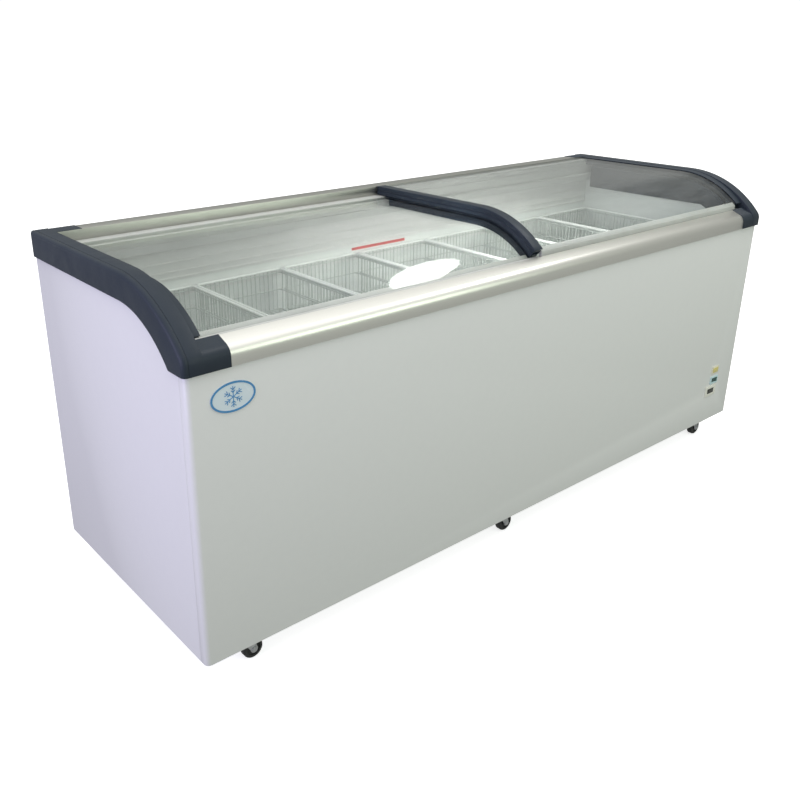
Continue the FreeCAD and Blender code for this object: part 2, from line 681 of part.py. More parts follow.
def across_fork(x, back0):
    """One leg of a fork, from the crown down to the axle."""
    z0, z1 = WHEEL_RADIUS, CROWN_TOP
    corners = [at(x - 15, back0, z1), at(x + 15, back0, z1),
               at(x + TRAIL + 9, back0, z0), at(x + TRAIL - 9, back0, z0)]
    leg = Part.Face(Part.makePolygon(corners + corners[:1])).extrude(Vec(0, FORK_WALL, 0))
    return leg.fuse(rod(at(x + TRAIL, back0, z0), Vec(0, 1, 0), 9, FORK_WALL))


def caster_wheel(x, back):
    """Wheel with rounded tread edges and a bore that runs on the axle."""
    y_axis = Vec(0, 1, 0)
    start = at(x + TRAIL, back - WHEEL_WIDTH / 2, WHEEL_RADIUS)
    tread = rod(start, y_axis, WHEEL_RADIUS, WHEEL_WIDTH)
    tread = tread.makeFillet(4, [edge for edge in tread.Edges if edge.Closed])
    recess_radius, hub_radius, recess = 17.0, 8.0, 3.5
    for side in (back - WHEEL_WIDTH / 2 - 1, back + WHEEL_WIDTH / 2 - recess):
        ring = rod(at(x + TRAIL, side, WHEEL_RADIUS), y_axis, recess_radius, recess + 1)
        ring = ring.cut(rod(at(x + TRAIL, side - 1, WHEEL_RADIUS), y_axis, hub_radius, recess + 3))
        tread = tread.cut(ring)
    return tread.cut(rod(at(x + TRAIL, back - 50, WHEEL_RADIUS), y_axis, AXLE_RADIUS + RUNNING_GAP, 100))


# Controls on the front panel

PIVOT_BACK = 1.0
ROCKER_TILT = 8.0
ROCKER_HALF = 14.2


def framed_opening(name, flange_width, flange_height, depth, proud):
    """A flanged body that fills a control's hole."""
    x, z, width, height = CONTROL_HOLES[name]
    body = block(x - width / 2, x + width / 2, 0, depth, z - height / 2, z + height / 2)
    flange = block(x - flange_width / 2, x + flange_width / 2, -proud, 0,
                   z - flange_height / 2, z + flange_height / 2)
    flange = round_edges(flange, 2, lambda edge: abs(edge.Vertexes[0].Y - edge.Vertexes[-1].Y) > 1)
    return body.fuse(flange).removeSplitter()


def temperature_display():
    """Display housing with a recess, and the dark window in it."""
    x, z = CONTROL_HOLES["display"][:2]
    window = block(x - 19, x + 19, -2, -1, z - 8.5, z + 8.5)
    housing = framed_opening("display", 62, 36, 22, 2.5)
    return housing.cut(block(x - 19, x + 19, -3, -1, z - 8.5, z + 8.5)), window


def indicator_light():
    """Rectangular lamp with a raised lens."""
    x, z = CONTROL_HOLES["light"][:2]
    lens = block(x - 15, x + 15, -4, -1, z - 8, z + 8)
    return framed_opening("light", 40, 26, 16, 2).fuse(lens).removeSplitter()


def switch_frame():
    """Frame that carries the rocker on two pin holes."""
    x, z = CONTROL_HOLES["switch"][:2]
    frame = framed_opening("switch", 44, 26, 14, 2)
    frame = frame.cut(block(x - 15.2, x + 15.2, -5, 11, z - 7.2, z + 7.2))
    return frame.cut(rod(at(x, PIVOT_BACK, z - 9), Vec(0, 0, 1), 1.5 + RUNNING_GAP, 18))


def power_rocker():
    """Rocker, pressed in at one end."""
    x, z = CONTROL_HOLES["switch"][:2]
    outline = [(-14.2, 3.2), (0, 2.0), (14.2, 3.2), (14.0, -1.5), (0, -5.0), (-14.0, -1.5)]
    points = [at(x + u, PIVOT_BACK - v, z - 6.9) for u, v in outline]
    rocker = Part.Face(Part.makePolygon(points + points[:1])).extrude(Vec(0, 0, 13.8))
    rocker = rocker.fuse(rod(at(x, PIVOT_BACK, z - 8.7), Vec(0, 0, 1), 1.5, 17.4)).removeSplitter()
    rocker.rotate(at(x, PIVOT_BACK, z), Vec(0, 0, 1), -ROCKER_TILT)
    return rocker


# Compressor bay

COMPRESSOR_X, COMPRESSOR_BACK = 815.0, 470.0
FOOT_X, FOOT_BACK = 70.0, 60.0
FAN_BACK, FAN_Z = 260.0, 190.0
CONDENSER_BACK0, CONDENSER_BACK1 = 135.0, 385.0


def compressor():
    """Sealed compressor on a foot plate."""
    x, back = COMPRESSOR_X, COMPRESSOR_BACK
    up = Vec(0, 0, 1)
    body = rod(at(x, back, 90), up, 70, 120)
    body = body.makeFillet(34, [edge for edge in body.Edges if edge.Closed])
    foot = block(x - FOOT_X - 15, x + FOOT_X + 15, back - FOOT_BACK - 15, back + FOOT_BACK + 15, 86, 89)
    neck = rod(at(x, back, 86), up, 45, 30)
    holes = [rod(at(x + i * FOOT_X, back + j * FOOT_BACK, 80), up, 9, 20) for i in (-1, 1) for j in (-1, 1)]
    stubs = [rod(at(x - 30, back, 200), up, 4, 25), rod(at(x + 30, back, 200), up, 4, 25)]
    return joined([body, foot, neck] + stubs).cut(holes)


def compressor_mounts():
    """Four rubber grommets under and through the foot plate."""
    up = Vec(0, 0, 1)
    grommets = []
    for i in (-1, 1):
        for j in (-1, 1):
            x, back = COMPRESSOR_X + i * FOOT_X, COMPRESSOR_BACK + j * FOOT_BACK
            base = rod(at(x, back, PAN_TOP), up, 13, 86 - PAN_TOP)
            grommets.append(base.fuse(rod(at(x, back, 80), up, 9, 14)).removeSplitter())
    return grommets


def electrical_box():
    """Starter box on the front of the compressor."""
    x, front = COMPRESSOR_X, COMPRESSOR_BACK - 70
    return round_edges(block(x - 28, x + 28, front - 34, front, 115, 185), 4, upright)


def condenser():
    """Finned tube block behind the side vent."""
    fins = [block(962, 1010, back, back + 0.8, 85, 295) for back in range(140, 381, 12)]
    rows = [(x, z) for x in (974, 998) for z in range(105, 286, 36)]
    length = CONDENSER_BACK1 - CONDENSER_BACK0
    tubes = [rod(at(x, CONDENSER_BACK0, z), Vec(0, 1, 0), 4, length) for x, z in rows]
    plates = [block(960, 1012, back, back + 1.5, PAN_TOP, 297)
              for back in (CONDENSER_BACK0, CONDENSER_BACK1 - 1.5)]
    return joined(tubes + plates + fins)


def fan_shroud():
    """Plate with a round mouth between the fan and the condenser."""
    plate = block(942, 945, 130, 390, PAN_TOP, 300)
    return plate.cut(rod(at(930, FAN_BACK, FAN_Z), Vec(1, 0, 0), 98, 30))


def fan_motor():
    """Motor on its foot, with the shaft that carries the blade."""
    along = Vec(1, 0, 0)
    body = rod(at(850, FAN_BACK, FAN_Z), along, 34, 50)
    shaft = rod(at(890, FAN_BACK, FAN_Z), along, 3, 46)
    foot = block(862, 866, FAN_BACK - 25, FAN_BACK + 25, PAN_TOP, FAN_Z)
    sole = block(852, 890, FAN_BACK - 25, FAN_BACK + 25, PAN_TOP, PAN_TOP + 3)
    return joined([body, shaft, foot, sole])


def fan_blade():
    """Five pitched blades on a hub that runs on the motor's shaft."""
    along = Vec(1, 0, 0)
    hub = rod(at(914, FAN_BACK, FAN_Z), along, 20, 20)
    centre = at(924, FAN_BACK, FAN_Z)
    blades = []
    for n in range(5):
        blade = Part.makeBox(1.6, 34, 72, centre + Vec(-0.8, -17, 16))
        blade.rotate(centre, Vec(0, 0, 1), 60)
        blade.rotate(centre, along, 72 * n)
        blades.append(blade)
    return joined([hub] + blades).cut(rod(at(900, FAN_BACK, FAN_Z), along, 3 + RUNNING_GAP, 50))


def refrigerant_lines():
    """Discharge, suction and liquid lines, the last with the filter drier in it."""
    x, back = COMPRESSOR_X, COMPRESSOR_BACK
    discharge = tube([at(x + 30, back, 225), at(x + 30, back, 290), at(974, back, 290),
                      at(974, back, 249), at(974, CONDENSER_BACK1, 249)], 4, 12)
    suction = tube([at(x - 30, back, 225), at(x - 30, back, 280), at(BAY_X, back, 280)], 4, 12)
    liquid = tube([at(998, CONDENSER_BACK1, 105), at(998, 560, 105), at(940, 560, 105)], 3, 12)
    drier = rod(at(940, 560, 105), Vec(-1, 0, 0), 10, 100)
    drier = drier.makeFillet(5, [edge for edge in drier.Edges if edge.Closed])
    outlet = tube([at(840, 560, 105), at(790, 560, 105), at(790, 560, 250), at(BAY_X, 560, 250)], 2, 12)
    return discharge, suction, liquid, drier, outlet


def power_inlet():
    """Recessed appliance inlet with its three blades."""
    half_width, half_height = INLET_WIDTH / 2, INLET_HEIGHT / 2
    body = block(INLET_X - half_width, INLET_X + half_width, DEPTH - 26, DEPTH + 1,
                 INLET_Z - half_height, INLET_Z + half_height)
    flange = block(INLET_X - 25, INLET_X + 25, DEPTH, DEPTH + 3, INLET_Z - 14, INLET_Z + 14)
    room = block(INLET_X - 12.5, INLET_X + 12.5, DEPTH - 20, DEPTH + 5, INLET_Z - 8.5, INLET_Z + 8.5)
    blades = []
    for dx, dz in ((-7, -2), (0, 2), (7, -2)):
        x, z = INLET_X + dx, INLET_Z + dz
        blades.append(block(x - 1, x + 1, DEPTH - 21, DEPTH - 3, z - 2, z + 2))
    return joined([body, flange]).cut(room).fuse(blades).removeSplitter()


def grille(width, height, depth):
    """Louvred grille in its own flat frame, lying in X and Z with its face towards -Y."""
    frame = Part.makeBox(width, depth, height)
    frame = frame.cut(Part.makeBox(width - 24, depth + 2, height - 24, Vec(12, -1, 12)))
    slats = []
    count = int((height - 24) / 14)
    for n in range(count):
        slat = Part.makeBox(width - 20, depth - 0.4, 6, Vec(10, 0.2, 16 + 14 * n))
        slats.append(slat)
    upright_bar = Part.makeBox(6, depth - 0.4, height - 20, Vec(width / 2 - 3, 0.2, 10))
    return joined([frame, upright_bar] + slats)


GRILLE = 3.0


def vent_grilles():
    """The side grille and the rear grille."""
    back0, back1, z0, z1 = SIDE_VENT
    side = grille(back1 - back0 + 20, z1 - z0 + 20, GRILLE)
    side.rotate(Vec(0, 0, 0), Vec(0, 0, 1), 90)
    side.translate(at(HALF + GRILLE, back0 - 10, z0 - 10))
    x0, x1, low, high = REAR_VENT
    rear = grille(x1 - x0 + 20, high - low + 20, GRILLE)
    rear.translate(at(x0 - 10, DEPTH, low - 10))
    return side, rear


def panel_screws():
    """Pan-head screws round the rear panel."""
    spots = [(x, z) for x in range(-980, 1000, 280) for z in (90, 780)]
    screws = []
    for x, z in spots:
        head = rod(at(x, DEPTH, z), Vec(0, 1, 0), 5, 2.4)
        screws.append(head.makeFillet(1.5, [edge for edge in head.Edges if edge.Closed
                                            and edge.CenterOfMass.y > at(0, DEPTH + 2, 0).y]))
    return screws


def main():
    """Writes every sub-part."""
    os.makedirs("parts", exist_ok=True)
    save("base_pan", base_pan())
    save("front_panel", front_panel())
    save("left_side_panel", mirrored(side_panel()))
    save("right_side_panel", right_side_panel())
    save("rear_panel", rear_panel())
    save("foam_insulation", *foam_insulation())
    save("inner_liner", inner_liner())
    save("evaporator_coil", evaporator_coil())
    save("liner_collar", liner_collar())
    save("basket_ledges", *basket_ledges())
    save("drain_tube", *drain_tube())
    save("end_cap_left", mirrored(end_cap(LOWER_RADIUS - FRAME_BELOW - SHELF_GAP)))
    save("end_cap_right", end_cap(UPPER_RADIUS - FRAME_BELOW - SHELF_GAP))
    save("front_rail", front_rail())
    save("rear_rail", rear_rail())
    save("front_lid_track", front_lid_track())
    save("rear_lid_track", rear_lid_track())
    right_lid()
    left_lid()
    for number in range(BASKETS):
        save("basket_%d" % (number + 1), basket(number))
    spots = [(x, back) for back in CASTER_BACK for x in CASTER_X]
    save("caster_plates", *[caster_plate(x, back) for x, back in spots])
    for number, (x, back) in enumerate(spots, 1):
        save("caster_fork_%d" % number, caster_fork(x, back))
        save("caster_wheel_%d" % number, caster_wheel(x, back))
    save("temperature_display", *temperature_display())
    save("indicator_light", indicator_light())
    save("switch_frame", switch_frame())
    save("power_rocker", power_rocker())
    save("compressor", compressor())
    save("compressor_mounts", *compressor_mounts())
    save("electrical_box", electrical_box())
    save("condenser", condenser())
    save("fan_shroud", fan_shroud())
    save("fan_motor", fan_motor())
    save("fan_blade", fan_blade())
    save("refrigerant_lines", *refrigerant_lines())
    save("power_inlet", power_inlet())
    save("vent_grilles", *vent_grilles())
    save("panel_screws", *panel_screws())


main()
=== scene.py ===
"""Chest freezer with a curved glass top: looks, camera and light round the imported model."""
import bmesh
import bpy
import json
import math
from mathutils import Matrix, Vector

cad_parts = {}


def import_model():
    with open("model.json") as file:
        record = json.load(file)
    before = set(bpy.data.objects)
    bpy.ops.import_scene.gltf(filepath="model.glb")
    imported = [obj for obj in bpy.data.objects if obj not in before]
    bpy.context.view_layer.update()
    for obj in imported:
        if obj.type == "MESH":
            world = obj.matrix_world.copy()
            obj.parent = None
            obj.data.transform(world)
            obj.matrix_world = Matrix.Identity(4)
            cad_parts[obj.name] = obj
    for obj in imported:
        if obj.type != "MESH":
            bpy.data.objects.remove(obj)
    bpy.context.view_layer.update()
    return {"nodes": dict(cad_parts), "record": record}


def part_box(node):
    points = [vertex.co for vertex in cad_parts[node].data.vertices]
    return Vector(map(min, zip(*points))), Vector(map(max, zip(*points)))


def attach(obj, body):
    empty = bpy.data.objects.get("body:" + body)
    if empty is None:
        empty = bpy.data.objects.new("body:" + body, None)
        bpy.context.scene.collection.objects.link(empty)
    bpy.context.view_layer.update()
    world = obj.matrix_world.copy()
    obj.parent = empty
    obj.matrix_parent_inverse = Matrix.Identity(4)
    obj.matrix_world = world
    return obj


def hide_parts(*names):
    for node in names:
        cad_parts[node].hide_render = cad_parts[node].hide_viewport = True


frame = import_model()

NODES = frame["nodes"]


# Node materials

class Recipe:
    """A material's node tree, with short calls for the nodes it is built from."""

    def __init__(self, name):
        self.material = bpy.data.materials.new(name)
        self.material.use_nodes = True
        self.tree = self.material.node_tree
        self.tree.nodes.clear()
        self.out = self.tree.nodes.new("ShaderNodeOutputMaterial")
        self.place = self.tree.nodes.new("ShaderNodeTexCoord").outputs["Object"]

    def node(self, kind, settings=None, **sockets):
        made = self.tree.nodes.new("ShaderNode" + kind)
        for key, value in (settings or {}).items():
            setattr(made, key, value)
        for key, value in sockets.items():
            self.plug(made.inputs[key.replace("_", " ")], value)
        return made

    def plug(self, socket, value):
        if isinstance(value, bpy.types.NodeSocket):
            self.tree.links.new(value, socket)
        else:
            socket.default_value = value

    def stretched(self, x, y, z):
        """Object coordinates, scaled along each axis."""
        return self.node("Mapping", Vector=self.place, Scale=(x, y, z)).outputs[0]

    def noise(self, scale, detail=3.0, rough=0.5, at=None):
        made = self.node("TexNoise", Scale=scale, Detail=detail, Roughness=rough)
        self.plug(made.inputs["Vector"], self.place if at is None else at)
        return made.outputs["Fac"]

    def ramp(self, value, stops):
        """Colour ramp. Each stop is a position and a grey level or a colour."""
        made = self.node("ValToRGB", Fac=value)
        line = made.color_ramp
        while len(line.elements) < len(stops):
            line.elements.new(0.5)
        for element, (position, colour) in zip(line.elements, stops):
            element.position = position
            grey = isinstance(colour, (int, float))
            element.color = (colour,) * 3 + (1,) if grey else tuple(colour) + (1,)
        return made.outputs["Color"]

    def math(self, operation, a, b=0.0):
        made = self.tree.nodes.new("ShaderNodeMath")
        made.operation = operation
        self.plug(made.inputs[0], a)
        self.plug(made.inputs[1], b)
        return made.outputs[0]

    def mix(self, factor, a, b):
        made = self.tree.nodes.new("ShaderNodeMix")
        made.data_type = "RGBA"
        for socket, value in ((0, factor), (6, a), (7, b)):
            self.plug(made.inputs[socket], value)
        return made.outputs[2]

    def bump(self, height, distance, strength=1.0):
        made = self.node("Bump", Height=height, Distance=distance, Strength=strength)
        return made.outputs[0]

    def surface(self, **sockets):
        made = self.node("BsdfPrincipled", **sockets)
        self.tree.links.new(made.outputs[0], self.out.inputs["Surface"])
        return self.material

    def edges(self, radius):
        """1 where the surface turns within radius, 0 where it is flat."""
        rounded = self.node("Bevel", {"samples": 4}, Radius=radius).outputs[0]
        flat = self.node("NewGeometry").outputs["Normal"]
        facing = self.node("VectorMath", {"operation": "DOT_PRODUCT"})
        self.plug(facing.inputs[0], rounded)
        self.plug(facing.inputs[1], flat)
        return self.ramp(facing.outputs["Value"], [(0.75, 1.0), (0.985, 0.0)])


def rgb(r, g, b):
    return (r, g, b, 1.0)


GLOSS_SPREAD = 0.01


def powder_coat(name, colour, darker, gloss):
    """Painted sheet: faint orange peel, and fine speckle in its colour and gloss."""
    m = Recipe(name)
    speckle = m.noise(60.0, 2.0, 0.5)
    base = m.mix(m.math("MULTIPLY", speckle, 0.6), colour, darker)
    rough = m.math("MULTIPLY_ADD", speckle, GLOSS_SPREAD)
    rough.node.inputs[2].default_value = gloss - GLOSS_SPREAD / 2
    return m.surface(Base_Color=base, Roughness=rough, Normal=m.bump(speckle, 0.00002, 0.02))


def moulded(name, colour, lighter, gloss, grain=2300.0, coat=0.0, sheen=0.5):
    """Moulded plastic: spark-eroded grain, slightly polished edges that are also lightened in colour as a
    painted highlight.
    """
    m = Recipe(name)
    base = m.mix(m.ramp(m.noise(7.0, 5.0, 0.6), [(0.35, 0.0), (0.75, 1.0)]), colour, lighter)
    polish_and_highlight_edge = m.edges(0.0016)
    # Turned edges lightened in colour: a painted highlight. The lower roughness below is their real
    # polish.
    base = m.mix(m.math("MULTIPLY", polish_and_highlight_edge, 0.35), base, rgb(*(min(1.0, 1.5 * c) for c in lighter[:3])))
    rough = m.ramp(m.noise(26.0, 5.0, 0.6), [(0.3, gloss - 0.05), (0.75, gloss + 0.08)])
    rough = m.math("SUBTRACT", rough, m.math("MULTIPLY", polish_and_highlight_edge, 0.08))
    return m.surface(Base_Color=base, Roughness=rough, Coat_Weight=coat, Coat_Roughness=0.12,
                     Specular_IOR_Level=sheen,
                     Normal=m.bump(m.noise(grain, 2.0, 0.6), 0.00006, 0.45))


def drawn_metal(name, colour, darker, gloss, along=(1.0, 60.0, 60.0), lines=30.0):
    """Extruded or rolled metal with drawing lines along one axis."""
    m = Recipe(name)
    streaks = m.noise(lines, 4.0, 0.6, at=m.stretched(*along))
    fine = m.noise(lines * 6.0, 2.0, 0.5, at=m.stretched(*along))
    base = m.mix(m.ramp(streaks, [(0.3, 0.0), (0.7, 1.0)]), colour, darker)
    rough = m.ramp(streaks, [(0.25, gloss - 0.04), (0.75, gloss + 0.05)])
    return m.surface(Base_Color=base, Metallic=1.0, Roughness=rough,
                     Normal=m.bump(fine, 0.00004, 0.3))


def galvanised(name):
    m = Recipe(name)
    cells = m.node("TexVoronoi", Vector=m.place, Scale=70.0)
    tone = m.ramp(m.node("SeparateColor", Color=cells.outputs["Color"]).outputs[0],
                  [(0.0, (0.42, 0.43, 0.44)), (1.0, (0.66, 0.67, 0.68))])
    rough = m.ramp(m.noise(60.0, 4.0), [(0.3, 0.34), (0.7, 0.52)])
    return m.surface(Base_Color=tone, Metallic=0.9, Roughness=rough,
                     Normal=m.bump(cells.outputs["Distance"], 0.0001, 0.25))


def foamed(name):
    m = Recipe(name)
    cells = m.node("TexVoronoi", Vector=m.place, Scale=420.0)
    tone = m.mix(m.ramp(m.noise(12.0, 5.0), [(0.3, 0.0), (0.7, 1.0)]),
                 rgb(0.84, 0.74, 0.50), rgb(0.74, 0.62, 0.36))
    return m.surface(Base_Color=tone, Roughness=0.85,
                     Normal=m.bump(cells.outputs["Distance"], 0.0008, 0.7))


def embossed(name):
    """Stucco-embossed white liner with a thin bloom of frost low down."""
    m = Recipe(name)
    height = m.node("SeparateXYZ", Vector=m.place).outputs["Z"]
    frost = m.ramp(m.math("SUBTRACT", height, m.math("MULTIPLY", m.noise(14.0, 5.0), 0.18)),
                   [(0.12, 1.0), (0.42, 0.0)])
    base = m.mix(frost, rgb(0.80, 0.825, 0.81), rgb(0.88, 0.91, 0.92))
    stucco = m.noise(170.0, 2.0, 0.4)
    rough = m.ramp(m.noise(24.0, 4.0), [(0.3, 0.36), (0.7, 0.5)])
    return m.surface(Base_Color=base, Roughness=rough, Normal=m.bump(stucco, 0.0006, 0.35))


def copper(name):
    m = Recipe(name)
    stain = m.ramp(m.noise(45.0, 6.0, 0.65), [(0.45, 0.0), (0.75, 1.0)])
    base = m.mix(stain, rgb(0.78, 0.42, 0.26), rgb(0.38, 0.20, 0.13))
    rough = m.ramp(m.noise(80.0, 3.0), [(0.3, 0.22), (0.7, 0.42)])
    return m.surface(Base_Color=base, Metallic=1.0, Roughness=rough,
                     Normal=m.bump(m.noise(400.0), 0.00005, 0.3))


def rubber(name, tone):
    m = Recipe(name)
    dust = m.ramp(m.noise(90.0, 6.0, 0.7), [(0.50, 0.0), (0.80, 0.6)])
    base = m.mix(dust, rgb(tone, tone, tone * 1.05), rgb(tone * 3.4, tone * 3.3, tone * 3.2))
    return m.surface(Base_Color=base, Roughness=m.ramp(m.noise(50.0), [(0.3, 0.42), (0.7, 0.62)]),
                     Normal=m.bump(m.noise(900.0, 3.0), 0.00008, 0.5))


STRAIGHT_MIRROR, GRAZING_MIRROR, GLANCE_POWER, HAZE = 0.045, 0.90, 5.0, 0.045


def clear_pane(name):
    """Toughened glass: a faint green-grey tint, mirror at grazing angles, a haze of wiping marks."""
    m = Recipe(name)
    wiped = m.noise(5.0, 5.0, 0.6, at=m.stretched(1.0, 5.0, 5.0))
    haze = m.ramp(wiped, [(0.40, 0.0), (0.78, 1.0)])
    through = m.node("BsdfTransparent", Color=rgb(0.970, 0.982, 0.976)).outputs[0]
    ripple = m.bump(m.noise(9.0, 1.0), 0.0006, 0.12)
    gloss = m.node("BsdfPrincipled", Base_Color=rgb(0.75, 0.76, 0.76), Metallic=1.0, Normal=ripple,
                   Roughness=m.ramp(wiped, [(0.3, 0.015), (0.8, 0.05)])).outputs[0]
    milk = m.node("BsdfDiffuse", Color=rgb(0.80, 0.80, 0.81)).outputs[0]
    glance = m.node("LayerWeight", Blend=0.5, Normal=ripple).outputs["Facing"]
    mirror = m.math("MULTIPLY_ADD", m.math("POWER", glance, GLANCE_POWER), GRAZING_MIRROR)
    mirror.node.inputs[2].default_value = STRAIGHT_MIRROR
    clear = m.node("MixShader", Fac=mirror)
    m.plug(clear.inputs[1], through)
    m.plug(clear.inputs[2], gloss)
    whole = m.node("MixShader", Fac=m.math("MULTIPLY", haze, HAZE))
    m.plug(whole.inputs[1], clear.outputs[0])
    m.plug(whole.inputs[2], milk)
    m.plug(m.out.inputs["Surface"], whole.outputs[0])
    return m.material


LENS_FACE_Y = -0.3478


def lamp_lens(name):
    """Ribbed amber lens in a cream surround: the lens is the part that stands proud."""
    m = Recipe(name)
    place = m.node("SeparateXYZ", Vector=m.place)
    proud = m.math("LESS_THAN", place.outputs["Y"], LENS_FACE_Y)
    ribs = m.node("TexWave", {"bands_direction": "X"}, Vector=m.place, Scale=95.0).outputs["Fac"]
    ridge = m.ramp(ribs, [(0.2, 0.0), (0.8, 1.0)])
    amber = m.mix(ridge, rgb(0.62, 0.52, 0.12), rgb(0.82, 0.74, 0.30))
    cream = m.mix(m.noise(120.0, 3.0), rgb(0.86, 0.84, 0.70), rgb(0.80, 0.78, 0.64))
    return m.surface(Base_Color=m.mix(proud, cream, amber), Coat_Weight=0.4, Coat_Roughness=0.08,
                     Roughness=m.ramp(m.noise(60.0), [(0.3, 0.22), (0.7, 0.36)]),
                     Normal=m.bump(ribs, 0.0001, 0.4))


DISPLAY_X, DISPLAY_Z = 0.898, 0.176
WINDOW_HALF_WIDTH, WINDOW_HALF_HEIGHT = 0.0190, 0.0085


def display_face(name):
    """Cream surround with an olive-black window, told apart by place."""
    m = Recipe(name)
    place = m.node("SeparateXYZ", Vector=m.place)
    off_x = m.math("ABSOLUTE", m.math("SUBTRACT", place.outputs["X"], DISPLAY_X))
    off_z = m.math("ABSOLUTE", m.math("SUBTRACT", place.outputs["Z"], DISPLAY_Z))
    inside = m.math("MULTIPLY", m.math("LESS_THAN", off_x, WINDOW_HALF_WIDTH),
                    m.math("LESS_THAN", off_z, WINDOW_HALF_HEIGHT))
    cream = m.mix(m.noise(120.0, 3.0), rgb(0.84, 0.84, 0.76), rgb(0.80, 0.80, 0.71))
    window = m.mix(m.noise(200.0, 3.0), rgb(0.022, 0.026, 0.018), rgb(0.034, 0.038, 0.026))
    return m.surface(Base_Color=m.mix(inside, cream, window), Coat_Weight=0.3, Coat_Roughness=0.08,
                     Roughness=m.ramp(m.noise(60.0), [(0.3, 0.24), (0.7, 0.34)]),
                     Normal=m.bump(m.noise(1500.0), 0.00004, 0.3))


FINISH = {
    "white_steel": powder_coat("powder_coated_steel", rgb(0.80, 0.81, 0.80),
                               rgb(0.765, 0.775, 0.77), 0.27),
    "zinc_steel": galvanised("galvanised_steel"),
    "foam": foamed("rigid_foam"),
    "liner": embossed("embossed_liner"),
    "white_plastic": moulded("white_moulding", rgb(0.78, 0.78, 0.77),
                             rgb(0.84, 0.84, 0.83), 0.34, 1500.0),
    "dark_plastic": moulded("navy_moulding", rgb(0.020, 0.030, 0.045),
                            rgb(0.028, 0.039, 0.056), 0.46, sheen=0.30),
    "rail_aluminium": drawn_metal("satin_anodised", rgb(0.91, 0.905, 0.855),
                                  rgb(0.85, 0.84, 0.79), 0.36),
    "ledge_plastic": moulded("grey_extrusion", rgb(0.55, 0.56, 0.54),
                             rgb(0.64, 0.65, 0.63), 0.38, 1200.0),
    "lid_glass": clear_pane("toughened_glass"),
    # Basket wires: a darker grey-green copy of the rim's pale coating, painting in the shade of the well.
    "basket_wire": powder_coat("coated_wire_painted_shade", rgb(0.60, 0.635, 0.61), rgb(0.55, 0.59, 0.565), 0.33),
    "wheel_black": rubber("tread_rubber", 0.022),
    "copper": copper("drawn_copper"),
    "fin_aluminium": drawn_metal("mill_fins", rgb(0.78, 0.79, 0.80), rgb(0.62, 0.63, 0.64), 0.32,
                                 (50.0, 1.0, 50.0)),
    "black_enamel": powder_coat("black_enamel", rgb(0.030, 0.030, 0.034),
                                rgb(0.040, 0.040, 0.045), 0.26),
    "black_plastic": moulded("black_moulding", rgb(0.022, 0.022, 0.026),
                             rgb(0.036, 0.036, 0.040), 0.42),
    "grommet_rubber": rubber("grommet_rubber", 0.040),
    "display": display_face("display_face"),
    "light": lamp_lens("amber_lens"),
    "switch": moulded("cyan_surround", rgb(0.50, 0.72, 0.76),
                      rgb(0.60, 0.80, 0.83), 0.30, 1500.0, 0.2),
    "rocker": moulded("rocker_green", rgb(0.020, 0.070, 0.062),
                      rgb(0.034, 0.10, 0.090), 0.28, 1500.0, 0.3),
}


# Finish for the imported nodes

def smooth_group(angle):
    """Geometry nodes that shade smooth everywhere except at edges sharper than angle."""
    group = bpy.data.node_groups.new("smooth_by_angle", "GeometryNodeTree")
    group.is_modifier = True
    group.interface.new_socket("Geometry", in_out="INPUT", socket_type="NodeSocketGeometry")
    group.interface.new_socket("Geometry", in_out="OUTPUT", socket_type="NodeSocketGeometry")
    add = group.nodes.new
    start, end = add("NodeGroupInput"), add("NodeGroupOutput")
    faces, edges = add("GeometryNodeSetShadeSmooth"), add("GeometryNodeSetShadeSmooth")
    turn, soft = add("GeometryNodeInputMeshEdgeAngle"), add("FunctionNodeCompare")
    faces.domain, edges.domain = "FACE", "EDGE"
    soft.operation = "LESS_THAN"
    soft.inputs[1].default_value = angle
    link = group.links.new
    link(start.outputs[0], faces.inputs["Geometry"])
    link(faces.outputs[0], edges.inputs["Geometry"])
    link(turn.outputs["Unsigned Angle"], soft.inputs[0])
    link(soft.outputs[0], edges.inputs["Shade Smooth"])
    link(edges.outputs[0], end.inputs[0])
    return group


SMOOTH = smooth_group(math.radians(32))
EDGE_WIDTH, EDGE_ANGLE, WELD = 0.0007, math.radians(40), 1e-6
NO_BEVEL = {
    "foam_insulation", "inner_liner", "evaporator_coil", "condenser", "refrigerant_lines", "fan_blade",
    "left_lid_glass", "right_lid_glass", "panel_screws", "compressor", "front_lid_track", "rear_lid_track",
}


def shade_smooth(obj):
    obj.modifiers.new("smooth", "NODES").node_group = SMOOTH


def dress(obj, finish, bevel):
    """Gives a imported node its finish, joins its split corners and softens its edges."""
    custom = obj.data.attributes.get("custom_normal")
    if custom:
        obj.data.attributes.remove(custom)
    obj.data.materials.clear()
    obj.data.materials.append(finish)
    weld = obj.modifiers.new("weld", "WELD")
    weld.merge_threshold = WELD
    if bevel:
        soft = obj.modifiers.new("bevel", "BEVEL")
        soft.width = bevel
        soft.segments = 2
        soft.limit_method = "ANGLE"
        soft.angle_limit = EDGE_ANGLE
        soft.use_clamp_overlap = True
    shade_smooth(obj)


OWN_FINISH = {
    "left_lid_runners": FINISH["ledge_plastic"],
    "right_lid_runners": FINISH["ledge_plastic"],
    # A darker copy of the rail aluminium for the rear rail: painted shade.
    "rear_rail": drawn_metal("anodised_painted_shade", rgb(0.50, 0.50, 0.47),
                             rgb(0.43, 0.43, 0.40), 0.36),
}
for part in frame["record"]["subparts"]:
    name = part["node"]
    finish = OWN_FINISH.get(name, FINISH[part["material_slot"]])
    dress(NODES[name], finish, 0.0 if name in NO_BEVEL else EDGE_WIDTH)


# Mesh helpers

def add_object(name, mesh, finish, body, smooth=True):
    obj = bpy.data.objects.new(name, mesh)
    bpy.context.scene.collection.objects.link(obj)
    mesh.materials.append(finish)
    if smooth:
        shade_smooth(obj)
    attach(obj, body)
    return obj


def as_mesh(name, bm):
    bmesh.ops.recalc_face_normals(bm, faces=bm.faces)
    mesh = bpy.data.meshes.new(name)
    bm.to_mesh(mesh)
    bm.free()
    return mesh


